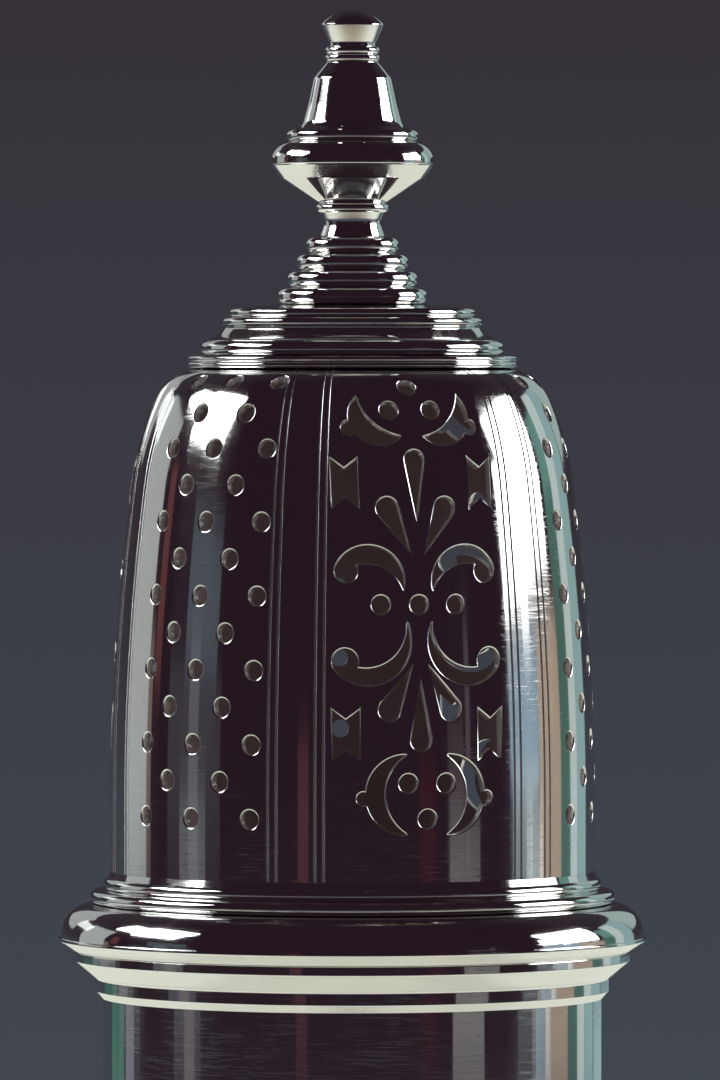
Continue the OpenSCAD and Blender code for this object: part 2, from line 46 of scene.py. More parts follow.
class Wire:
    """An output of a node. A sum on it adds a Math node to the tree."""

    def __init__(self, bench, socket):
        self.bench = bench
        self.socket = socket

    def __add__(self, other):
        return self.bench.sum("ADD", self, other)

    def __radd__(self, other):
        return self.bench.sum("ADD", other, self)

    def __sub__(self, other):
        return self.bench.sum("SUBTRACT", self, other)

    def __rsub__(self, other):
        return self.bench.sum("SUBTRACT", other, self)

    def __mul__(self, other):
        return self.bench.sum("MULTIPLY", self, other)

    def __rmul__(self, other):
        return self.bench.sum("MULTIPLY", other, self)

    def __truediv__(self, other):
        return self.bench.sum("DIVIDE", self, other)

    def __rtruediv__(self, other):
        return self.bench.sum("DIVIDE", other, self)


class Bench:
    """A node tree that is being put together."""

    def __init__(self, tree):
        self.tree = tree

    def node(self, kind, settings=None, values=None, out=0):
        """Adds a node, with its settings first and then the values or wires of its sockets."""
        made = self.tree.nodes.new(kind)
        for name, value in (settings or {}).items():
            setattr(made, name, value)
        for name, value in (values or {}).items():
            for one in value if isinstance(value, list) else [value]:
                if isinstance(one, Wire):
                    self.tree.links.new(one.socket, made.inputs[name])
                else:
                    made.inputs[name].default_value = one
        if isinstance(out, tuple):
            return tuple(Wire(self, made.outputs[one]) for one in out)
        return Wire(self, made.outputs[out]) if len(made.outputs) else None

    def sum(self, operation, first, second=0.0):
        return self.node("ShaderNodeMath", {"operation": operation}, {0: first, 1: second})


def geometry_bench(name, inputs):
    """Starts a Geometry Nodes tree and returns it with the wires of its named inputs."""
    tree = bpy.data.node_groups.new(name, "GeometryNodeTree")
    tree.interface.new_socket("Geometry", in_out="OUTPUT", socket_type="NodeSocketGeometry")
    for label, kind in inputs:
        tree.interface.new_socket(label, in_out="INPUT", socket_type="NodeSocket" + kind)
    bench = Bench(tree)
    return bench, bench.node("NodeGroupInput", out=tuple(range(len(inputs))))


def run_tree(piece, tree, values):
    """Runs a tree on a piece and leaves the result as its plain mesh."""
    modifier = piece.modifiers.new(tree.name, "NODES")
    modifier.node_group = tree
    for socket in tree.interface.items_tree:
        if socket.name in values:
            modifier[socket.identifier] = values[socket.name]
    take_result(piece)


def take_result(piece):
    """Makes what a piece's modifiers give its own mesh, and takes the modifiers off."""
    graph = bpy.context.evaluated_depsgraph_get()
    mesh = bpy.data.meshes.new_from_object(
        piece.evaluated_get(graph), preserve_all_data_layers=True, depsgraph=graph)
    mesh.name = piece.name
    piece.modifiers.clear()
    piece.data = mesh


def new_piece(name, points, edges=(), faces=()):
    mesh = bpy.data.meshes.new(name)
    mesh.from_pydata(points, edges, faces)
    piece = bpy.data.objects.new(name, mesh)
    bpy.context.collection.objects.link(piece)
    return piece


def lathe():
    """Tree that rounds the corners of an outline and turns it round the axis."""
    bench, (outline, steps, corner_steps, finish) = geometry_bench("lathe", (
        ("Outline", "Geometry"), ("Steps round", "Int"), ("Steps per corner", "Int"),
        ("Finish", "Material")))
    rounding = bench.node("GeometryNodeInputNamedAttribute", {"data_type": "FLOAT"}, {"Name": "rounding"})
    line = bench.node("GeometryNodeMeshToCurve", {}, {"Mesh": outline})
    line = bench.node("GeometryNodeFilletCurve", {"mode": "POLY"},
                      {"Curve": line, "Count": corner_steps, "Radius": rounding, "Limit Radius": True})
    line = bench.node("GeometryNodeTransform", {}, {"Geometry": line, "Translation": (-1.0, 0.0, 0.0)})
    circle = bench.node("GeometryNodeCurvePrimitiveCircle", {}, {"Resolution": steps, "Radius": 1.0})
    turned = bench.node("GeometryNodeCurveToMesh", {}, {"Curve": circle, "Profile Curve": line})
    turned = bench.node("GeometryNodeMergeByDistance", {}, {"Geometry": turned, "Distance": 0.002})
    turned = bench.node("GeometryNodeTransform", {}, {"Geometry": turned, "Scale": (0.001, 0.001, 0.001)})
    turned = bench.node("GeometryNodeRealizeInstances", {}, {"Geometry": turned})
    turned = bench.node("GeometryNodeSetMaterial", {}, {"Geometry": turned, "Material": finish})
    bench.node("NodeGroupOutput", {}, {"Geometry": turned})
    return bench.tree


LATHE = lathe()
SHARP = math.radians(32)


def silver():
    """Polished silver with hairlines round the piece and a faint warm film, dull brown inside the cover."""
    material = bpy.data.materials.new("polished silver")
    material.use_nodes = True
    tree = material.node_tree
    tree.nodes.clear()
    bench = Bench(tree)
    place = bench.node("ShaderNodeTexCoord", out="Object")
    mm = bench.node("ShaderNodeVectorMath", {"operation": "SCALE"}, {"Vector": place, "Scale": 1000.0})
    x, y, z = bench.node("ShaderNodeSeparateXYZ", {}, {"Vector": mm}, out=("X", "Y", "Z"))
    radius = bench.sum("SQRT", x * x + y * y)

    # Hairlines of the polishing cloth, long round the piece and fine up it, stronger in patches
    lines = bench.node("ShaderNodeCombineXYZ", {}, {
        "X": 0.3 * x, "Y": 0.3 * y, "Z": 12.0 * z + 9.3 * radius})
    fine = bench.node("ShaderNodeTexNoise", {}, {
        "Vector": lines, "Scale": 1.0, "Detail": 2.0, "Roughness": 0.7})
    patches = bench.node("ShaderNodeTexNoise", {}, {"Vector": mm, "Scale": 0.12, "Detail": 2.0})
    hairline = bench.node("ShaderNodeMapRange", {}, {
        "Value": fine, "From Min": 0.56, "From Max": 0.70, "To Min": 0.0, "To Max": 1.0})
    worn = hairline * bench.node("ShaderNodeMapRange", {}, {
        "Value": patches, "From Min": 0.35, "From Max": 0.65, "To Min": 0.3, "To Max": 1.0})

    # The film, and the dull faces and rolled edges that a piece marks with its attributes
    dull = bench.node("ShaderNodeAttribute", {"attribute_name": "dull"}, out="Fac")
    edge = bench.node("ShaderNodeAttribute", {"attribute_name": "edge"}, out="Fac")
    film = bench.node("ShaderNodeTexNoise", {}, {
        "Vector": mm, "Scale": 0.05, "Detail": 4.0, "Roughness": 0.6})
    film = bench.node("ShaderNodeMapRange", {}, {
        "Value": film, "From Min": 0.4, "From Max": 0.75, "To Min": 0.0, "To Max": 0.5})
    bright = (0.87, 0.865, 0.85, 1.0)
    warm = (0.80, 0.76, 0.70, 1.0)
    brown = (0.54, 0.41, 0.42, 1.0)
    colour = bench.node("ShaderNodeMix", {"data_type": "RGBA"}, {0: film, 6: bright, 7: warm}, out=2)
    colour = bench.node("ShaderNodeMix", {"data_type": "RGBA"}, {0: dull, 6: colour, 7: brown}, out=2)

    # Slow waves of the sheet, a few thousandths of a millimetre deep, under the hairlines
    wave = bench.node("ShaderNodeTexNoise", {}, {"Vector": mm, "Scale": 0.11, "Detail": 1.0})
    bump = bench.node("ShaderNodeBump", {}, {"Strength": 1.0, "Distance": 0.000005, "Height": wave})
    bump = bench.node("ShaderNodeBump", {}, {
        "Strength": 0.15, "Distance": 0.000008, "Height": worn, "Normal": bump})
    surface = bench.node("ShaderNodeBsdfPrincipled", {}, {
        "Base Color": colour,
        "Metallic": 1 - 0.9 * dull,
        "Roughness": 0.065 + 0.06 * worn + 0.4 * dull + 0.06 * edge,
        "Anisotropic": 1.0,
        "Anisotropic Rotation": 0.25,
        "Normal": bump})
    bench.node("ShaderNodeOutputMaterial", {}, {"Surface": surface})
    return material


SILVER = silver()


def turn(name, outline, dull_inside=False):
    """Turns an outline of (radius, height, corner rounding) in mm, a ring unless it starts on the axis."""
    count = len(outline)
    ring = outline[0][0] > 0
    edges = [(i, (i + 1) % count) for i in range(count if ring else count - 1)]
    piece = new_piece(name, [(radius, -height, 0) for radius, height, _ in outline], edges)
    attribute = piece.data.attributes.new("rounding", "FLOAT", "POINT")
    attribute.data.foreach_set("value", [rounding for _, _, rounding in outline])
    run_tree(piece, LATHE, {"Steps round": 224, "Steps per corner": 9, "Finish": SILVER})
    turned = bmesh.new()
    turned.from_mesh(piece.data)
    bmesh.ops.recalc_face_normals(turned, faces=turned.faces)
    turned.to_mesh(piece.data)
    turned.free()
    piece.data.shade_smooth()
    piece.data.set_sharp_from_angle(angle=SHARP)
    even = piece.modifiers.new("even shine", "WEIGHTED_NORMAL")
    even.keep_sharp = True
    take_result(piece)
    if dull_inside:
        inside = [1.0 if face.normal.xy.dot(face.center.xy) < 0 else 0.0 for face in piece.data.polygons]
        piece.data.attributes.new("dull", "FLOAT", "FACE").data.foreach_set("value", inside)
    return piece


def bow_radius(half, sag):
    """Radius of an arc with half a chord and a sag."""
    return (half * half + sag * sag) / (2 * sag)


def bow(start, end, sag, steps=12):
    """Points of an outline along an arc that bows out from the line between two points, or in."""
    along = np.subtract(end, start)
    reach = np.hypot(*along)
    radius = bow_radius(reach / 2, sag)
    centre = np.add(start, end) / 2 + (sag - radius) * np.array([along[1], -along[0]]) / reach
    first = math.atan2(start[1] - centre[1], start[0] - centre[0])
    swing = math.atan2(end[1] - centre[1], end[0] - centre[0]) - first
    swing -= 2 * math.pi * round(swing / (2 * math.pi))
    angles = [first + swing * i / steps for i in range(steps + 1)]
    return [(centre[0] + abs(radius) * math.cos(angle), centre[1] + abs(radius) * math.sin(angle), 0.0)
            for angle in angles]


def reed(tip, low, high):
    """Points of a half-round reed between two heights, down to the floors of the grooves beside it."""
    pitch = high - low
    sag = 0.35 * pitch
    half = 0.477 * pitch
    middle = (low + high) / 2
    return bow((tip - sag, middle - half), (tip - sag, middle + half), sag)


def seat(piece, body, node):
    """Lets a piece ride on a body in place of a solid, which it hides."""
    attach(piece, body)
    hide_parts(node)


wire_top = 2.2
stand_wire = turn("stand_wire", [
    (29.13, 0.0, 0.1), (31.48, 0.0, 1.1), (31.48, wire_top, 1.1), (29.13, wire_top, 0.0)])
seat(stand_wire, "vessel", "foot_wire")

foot_top = 14.0
bead_low = 12.6
moulded_foot = turn("moulded_foot", [
    # Outside: the ovolo, the hollow and the bead
    (29.75, wire_top, 0.0), (30.95, wire_top, 0.0), (30.95, 5.8, 3.6), (27.35, 5.8, 0.0),
    (27.35, 8.13, 0.25), (25.35, 9.92, 5.9), (25.35, bead_low, 0.0), *reed(26.33, bead_low, foot_top),
    # Inside: the same, 1.2 mm further in
    (21.4, foot_top, 0.0), (21.4, 12.8, 0.0), (24.15, 12.8, 0.0), (24.15, 8.72, 5.9),
    (26.15, 6.93, 0.2), (26.15, 4.6, 0.0), (29.75, 4.6, 2.3)])
seat(moulded_foot, "vessel", "foot")


# Body
# The plain cylinder is a seamed tube of sheet silver, polished inside and out, that stands on the foot.
# A flat plate is soldered in as its bottom.

body_radius = 25.0
bore = 24.1
neck_top = 88.0
bottom_top = foot_top + 1.0
solder = 0.04

bottom_plate = turn("bottom_plate", [
    (0.0, foot_top, 0.0), (bore - solder, foot_top, 0.0), (bore - solder, bottom_top, 0.0),
    (0.0, bottom_top, 0.0)])
seat(bottom_plate, "vessel", "body_bottom")

cylinder = turn("cylinder", [
    (bore, foot_top, 0.0), (body_radius, foot_top, 0.0), (body_radius, neck_top, 0.0),
    (bore, neck_top, 0.25)])
seat(cylinder, "vessel", "body_wall")


# Girdle
# A drawn wire with one large reed between two fine ones goes round the cylinder. It is soldered on, and
# stiffens the thin wall.

girdle_middle = 47.0
reeded_girdle = turn("reeded_girdle", [
    (body_radius + solder, girdle_middle - 2.17, 0.0),
    *reed(25.88, girdle_middle - 2.2, girdle_middle - 1.0),
    *reed(26.58, girdle_middle - 1.05, girdle_middle + 1.05),
    *reed(25.88, girdle_middle + 1.0, girdle_middle + 2.2),
    (body_radius + solder, girdle_middle + 2.17, 0.0)])
seat(reeded_girdle, "vessel", "body_girdle")


# Neck moulding
# A moulded band strengthens the mouth of the cylinder: a flat band, a bevel and a narrow step. It is one
# drawn strip of silver, bent round and soldered on.

moulding_low = neck_top - 4.75
neck_moulding = turn("neck_moulding", [
    (body_radius + solder, neck_top, 0.0), (body_radius + solder, moulding_low, 0.0),
    (25.1, moulding_low, 0.0), (25.75, neck_top - 4.0, 0.15), (25.75, neck_top - 2.75, 0.25),
    (27.85, neck_top - 1.0, 0.25), (27.85, neck_top, 0.2)])
seat(neck_moulding, "vessel", "body_rim")


# Flange and sleeve of the cover
# The heavy rounded flange rests on the neck. The sleeve below it slips into the cylinder and holds the
# cover by friction.

dome_seat = neck_top + 4.7
sleeve_foot = neck_top - 13.0
sleeve_radius = bore - 0.09
sleeve_inside = sleeve_radius - 0.8
lead_in = 0.4

slip_sleeve = turn("slip_sleeve", [
    (sleeve_inside, sleeve_foot, 0.0), (sleeve_radius - lead_in, sleeve_foot, 0.0),
    (sleeve_radius, sleeve_foot + lead_in, 0.1), (sleeve_radius, dome_seat, 0.0),
    (sleeve_inside, dome_seat, 0.0)], dull_inside=True)
seat(slip_sleeve, "cover", "cover_sleeve")

rounded_flange = turn("rounded_flange", [
    (sleeve_radius + solder, neck_top, 0.0), (27.9, neck_top, 0.15), (29.4, neck_top + 1.0, 0.2),
    (29.4, neck_top + 1.4, 0.15), (29.25, neck_top + 1.4, 0.0), (29.25, dome_seat, 3.28),
    (sleeve_radius + solder, dome_seat, 0.0)])
seat(rounded_flange, "cover", "cover_flange")


# Wire at the foot of the dome
# A drawn wire with a large and a small reed covers the joint of the dome and the flange. It is soldered
# to both.

dome_radius = 24.26
dome_foot_wire = turn("dome_foot_wire", [
    (dome_radius + solder, dome_seat, 0.0), *reed(26.31, dome_seat, dome_seat + 1.35),
    *bow((24.603, dome_seat + 1.428), (24.503, dome_seat + 2.566), 0.3714),
    (dome_radius + solder, dome_seat + 3.22, 0.0)])
seat(dome_foot_wire, "cover", "dome_wire")


# Dome
# The dome is raised from one sheet and pierced with a saw and drills: three panels of scrolling foliage,
# and between them three of round holes in staggered rows. Fine double lines are engraved between the
# panels, and the crown has a hole for the finial's peg.

dome_wall = 0.8
peg_radius = 1.5
peg_room = 0.04
peg_hole = peg_radius + peg_room

# The wall goes straight up, and then through three bends. Each has its radius, and how far the wall leans
# in at its lower and its upper end, in degrees.
straight = 10.3
curved_height = 31.9
wall_lean = 7.7
shoulder_lean = 25.0
bends = (
    (curved_height / math.sin(math.radians(wall_lean)), 0.0, wall_lean),
    (29.3, wall_lean, shoulder_lean),
    (4.95, shoulder_lean, 90.0))
bend_steps = (16, 14, 18)


def meridian_points():
    """Points (radius, height) of the dome's outer face, from the flange to the hole for the peg."""
    points = [(dome_radius, dome_seat + straight * step / 4) for step in range(5)]
    for (size, low, high), steps in zip(bends, bend_steps):
        radius, height = points[-1]
        for step in range(1, steps + 1):
            lean = math.radians(low + (high - low) * step / steps)
            start = math.radians(low)
            points.append((radius - size * (math.cos(start) - math.cos(lean)),
                           height + size * (math.sin(lean) - math.sin(start))))
    radius, height = points[-1]
    points += [(radius + (peg_hole - radius) * step / 4, height) for step in range(1, 5)]
    return points


meridian = np.array(meridian_points())
meridian_length = np.concatenate([[0.0], np.cumsum(np.hypot(*np.diff(meridian, axis=0).T))])


def radius_at(length):
    """Radius of the dome at a length up its wall."""
    return float(np.interp(length, meridian_length, meridian[:, 0]))


def arc(centre, radius, start, end, step=0.16):
    """Points along an arc, with its angles in radians."""
    count = max(4, math.ceil(abs(end - start) * radius / step))
    return [(centre[0] + radius * math.cos(start + (end - start) * i / count),
             centre[1] + radius * math.sin(start + (end - start) * i / count)) for i in range(count + 1)]


overlap = 0.01


def leaf(length, width):
    """Pointed part of a leaf. Its round end is drilled at the origin."""
    half = width / 2
    tilt = math.asin(half / length)
    side = (half - overlap) * math.cos(tilt)
    return [(-side, -half * math.sin(tilt)), (0.0, -length), (side, -half * math.sin(tilt))]


def notched_block(width, height, notch):
    """Upright block with a notch in its top and in its foot."""
    half, top = width / 2, height / 2
    return [(-half, -top), (0, notch - top), (half, -top), (half, top), (0, top - notch), (-half, top)]


def crescent(chord, inner_sag, outer_sag):
    """Crescent that bulges to the right of a chord along Y."""
    outer, inner = bow_radius(chord / 2, outer_sag), bow_radius(chord / 2, inner_sag)
    outer_end = math.atan2(chord / 2, outer - outer_sag)
    inner_end = math.atan2(chord / 2, inner - inner_sag)
    return (arc((outer_sag - outer, 0), outer, -outer_end, outer_end)
            + arc((inner_sag - inner, 0), inner, inner_end, -inner_end)[1:-1])


def crescent_boss(chord, outer_sag, boss, height):
    """Place of the round boss on the back of a crescent."""
    outer = bow_radius(chord / 2, outer_sag)
    return outer_sag - outer + math.sqrt(outer * outer - height * height) + boss / 5, height


def scroll(reach, rise, thick, bulb, curl):
    """Scroll with its thin tail at the origin, and the place of the round bulb at its other end."""
    taper = thick / 6
    outer, inner = bow_radius(reach, rise), bow_radius(reach + taper, rise - thick)
    hub, inner_hub = (reach, rise - outer), (reach + taper, rise - thick - inner)
    aim = (math.cos(math.radians(curl)), math.sin(math.radians(curl)))
    gap = (hub[0] - inner_hub[0], hub[1] - inner_hub[1])
    dot = gap[0] * aim[0] + gap[1] * aim[1]
    reach_in = -dot + math.sqrt(dot * dot - gap[0] ** 2 - gap[1] ** 2 + inner * inner)
    tip = (hub[0] + reach_in * aim[0], hub[1] + reach_in * aim[1])
    outer_tail = math.atan2(-hub[1], -hub[0])
    inner_tail = math.atan2(-inner_hub[1], -inner_hub[0])
    inner_tip = math.atan2(tip[1] - inner_hub[1], tip[0] - inner_hub[0])
    outer_tail += 2 * math.pi if outer_tail < math.radians(curl) else 0
    inner_tail += 2 * math.pi if inner_tail < inner_tip else 0
    outline = (arc(hub, outer, outer_tail, math.radians(curl))
               + arc(inner_hub, inner, inner_tip, inner_tail)[:-1])
    middle = outer - bulb / 2 + overlap
    return outline, (hub[0] + middle * aim[0], hub[1] + middle * aim[1])


def moved(points, shift=(0, 0), turn_by=0.0, flip=False):
    """Shifts points, turns them by degrees, and may turn them upside down."""
    angle = math.radians(turn_by)
    out = []
    for x, y in points:
        x, y = x + shift[0], y + shift[1]
        y = -y if flip else y
        out.append((x * math.cos(angle) - y * math.sin(angle), x * math.sin(angle) + y * math.cos(angle)))
    return out


def widened(points, by):
    """Outline with each side moved out by a distance."""
    area = sum(a[0] * b[1] - a[1] * b[0] for a, b in zip(points, points[1:] + points[:1]))
    if area < 0:
        points = points[::-1]
    out = []
    for before, here, after in zip(points[-1:] + points[:-1], points, points[1:] + points[:1]):
        first = np.array([here[1] - before[1], before[0] - here[0]])
        second = np.array([after[1] - here[1], here[0] - after[0]])
        first, second = first / np.linalg.norm(first), second / np.linalg.norm(second)
        shift = (first + second) / max(0.5, 1 + first @ second)
        out.append((here[0] + by * shift[0], here[1] + by * shift[1]))
    return out


rolled_edge = 0.16
roll_slope = 2.33
overcut = 0.04


def cutter(name, outlines, stretched=True):
    """Tool for a set of outlines (across, up the wall). It widens at the outer face, to roll the edges."""
    levels = (
        (overcut, rolled_edge + roll_slope * overcut),
        (-0.3 * rolled_edge, 0.3 * rolled_edge),
        (-rolled_edge, 0.0),
        (-dome_wall - overcut, 0.0))
    points, faces = [], []
    for outline in outlines:
        count = len(outline)
        base = len(points)
        for depth, by in levels:
            for across, up in widened(outline, by):
                stretch = dome_radius / radius_at(up) if stretched else 1.0
                points.append((across * stretch, up, depth))
        faces.append([base + i for i in range(count)])
        faces.append([base + 3 * count + i for i in reversed(range(count))])
        for above in (base, base + count, base + 2 * count):
            below = above + count
            for i in range(count):
                j = (i + 1) % count
                faces.append([above + i, below + i, below + j, above + j])
    return new_piece(name, points, (), faces)


def disc(size, sides=28):
    """Outline of a drilled round."""
    angles = [2 * math.pi * i / sides for i in range(sides)]
    return [(size / 2 * math.cos(angle), size / 2 * math.sin(angle)) for angle in angles]


# One panel of foliage, in mm across and up from its middle. Each row has an outline or the size of a round,
# and its place. The pairs are cut again as mirror images, and the last number of their rows shifts the line
# that they mirror about.
foliage_middle = 30.4
low_shift = 0.6
hole_size = 1.85
top_leaf_width, top_leaf_at = 2.0, (0, 14.3)
foot_leaf_width, foot_leaf_at = 2.1, (0, -13.3)
side_leaf_width = 2.2
upper_leaf_at, lower_leaf_at = (2.95, 9.5), (3.15, -10.3)
upper_bulb_size, lower_bulb_size = 2.3, 2.6
upper_scroll, upper_bulb = scroll(3.5, 4.45, 1.75, upper_bulb_size, 26)
lower_scroll, lower_bulb = scroll(3.9, 6.2, 1.65, lower_bulb_size, 41)
upper_scroll_shift, lower_scroll_shift = (-3.5, -2), (-3.9, -3)
upper_scroll_at, lower_scroll_at = (5.0, 3.4), (5.2, -4.7)
upper_chord, upper_back, upper_boss = 5.9, 3.1, 1.5
lower_chord, lower_back, lower_boss = 7.8, 4.05, 1.35
upper_crescent_turn = -44
upper_crescent_at, lower_crescent_at = (3.9, 18.1), (4.1, -18.6)
upper_spot = crescent_boss(upper_chord, upper_back, upper_boss, 1.3)
lower_spot = crescent_boss(lower_chord, lower_back, lower_boss, -0.4)

sawn = [
    (leaf(6.2, top_leaf_width), top_leaf_at),
    (moved(leaf(6.0, foot_leaf_width), turn_by=180), foot_leaf_at),
]
drilled = [
    (top_leaf_width, top_leaf_at),
    (foot_leaf_width, foot_leaf_at),
    (hole_size, (0, 0)),
    (hole_size, (0, 22)),
    (hole_size, (low_shift, -21)),
]
paired_sawn = [
    (moved(leaf(5.1, side_leaf_width), turn_by=-26.5), upper_leaf_at, 0),
    (moved(leaf(5.0, side_leaf_width), turn_by=208), lower_leaf_at, 0),
    (notched_block(2.65, 5.0, 1.1), (7.05, 12.0), 0),
    (notched_block(2.75, 5.0, 1.1), (7.5, -12.7), 0),
    (moved(upper_scroll, upper_scroll_shift), upper_scroll_at, 0),
    (moved(lower_scroll, lower_scroll_shift, flip=True), lower_scroll_at, 0),
    (moved(crescent(upper_chord, 0.95, upper_back), (-1, 0), upper_crescent_turn), upper_crescent_at, 0),
    (moved(crescent(lower_chord, 2.2, lower_back), (-2, 0)), lower_crescent_at, low_shift),
]
paired_drilled = [
    (side_leaf_width, [(0, 0)], upper_leaf_at, 0),
    (side_leaf_width, [(0, 0)], lower_leaf_at, 0),
    (upper_bulb_size, moved([upper_bulb], upper_scroll_shift), upper_scroll_at, 0),
    (lower_bulb_size, moved([lower_bulb], lower_scroll_shift, flip=True), lower_scroll_at, 0),
    (upper_boss, moved([upper_spot], (-1, 0), upper_crescent_turn), upper_crescent_at, 0),
    (lower_boss, moved([lower_spot], (-2, 0)), lower_crescent_at, low_shift),
    (hole_size, [(0, 0)], (3.85, 0), 0),
    (hole_size, [(0, 0)], (2.15, 19.4), 0),
    (hole_size, [(0, 0)], (1.95, -17.5), low_shift),
]
for outline, (across, up), shift in paired_sawn:
    sawn.append((outline, (shift + across, up)))
    sawn.append(([(-x, y) for x, y in outline], (shift - across, up)))
for size, (spot,), (across, up), shift in paired_drilled:
    for side in (1, -1):
        drilled.append((size, (shift + side * (across + spot[0]), up + spot[1])))
saw_cuts = cutter("saw_cuts", [
    [(across + x, foliage_middle + up + y) for x, y in outline] for outline, (across, up) in sawn])
drill_cuts = cutter("drill_cuts", [
    [(across + x, foliage_middle + up + y) for x, y in disc(size)] for size, (across, up) in drilled])
hole_cut = cutter("hole_cut", [disc(hole_size)], stretched=False)

curve = bpy.data.curves.new("dome_meridian", "CURVE")
spline = curve.splines.new("POLY")
spline.points.add(len(meridian) - 1)
for point, (radius, height) in zip(spline.points, meridian):
    point.co = (radius, height, 0, 1)
meridian_curve = bpy.data.objects.new("dome_meridian", curve)
bpy.context.collection.objects.link(meridian_curve)


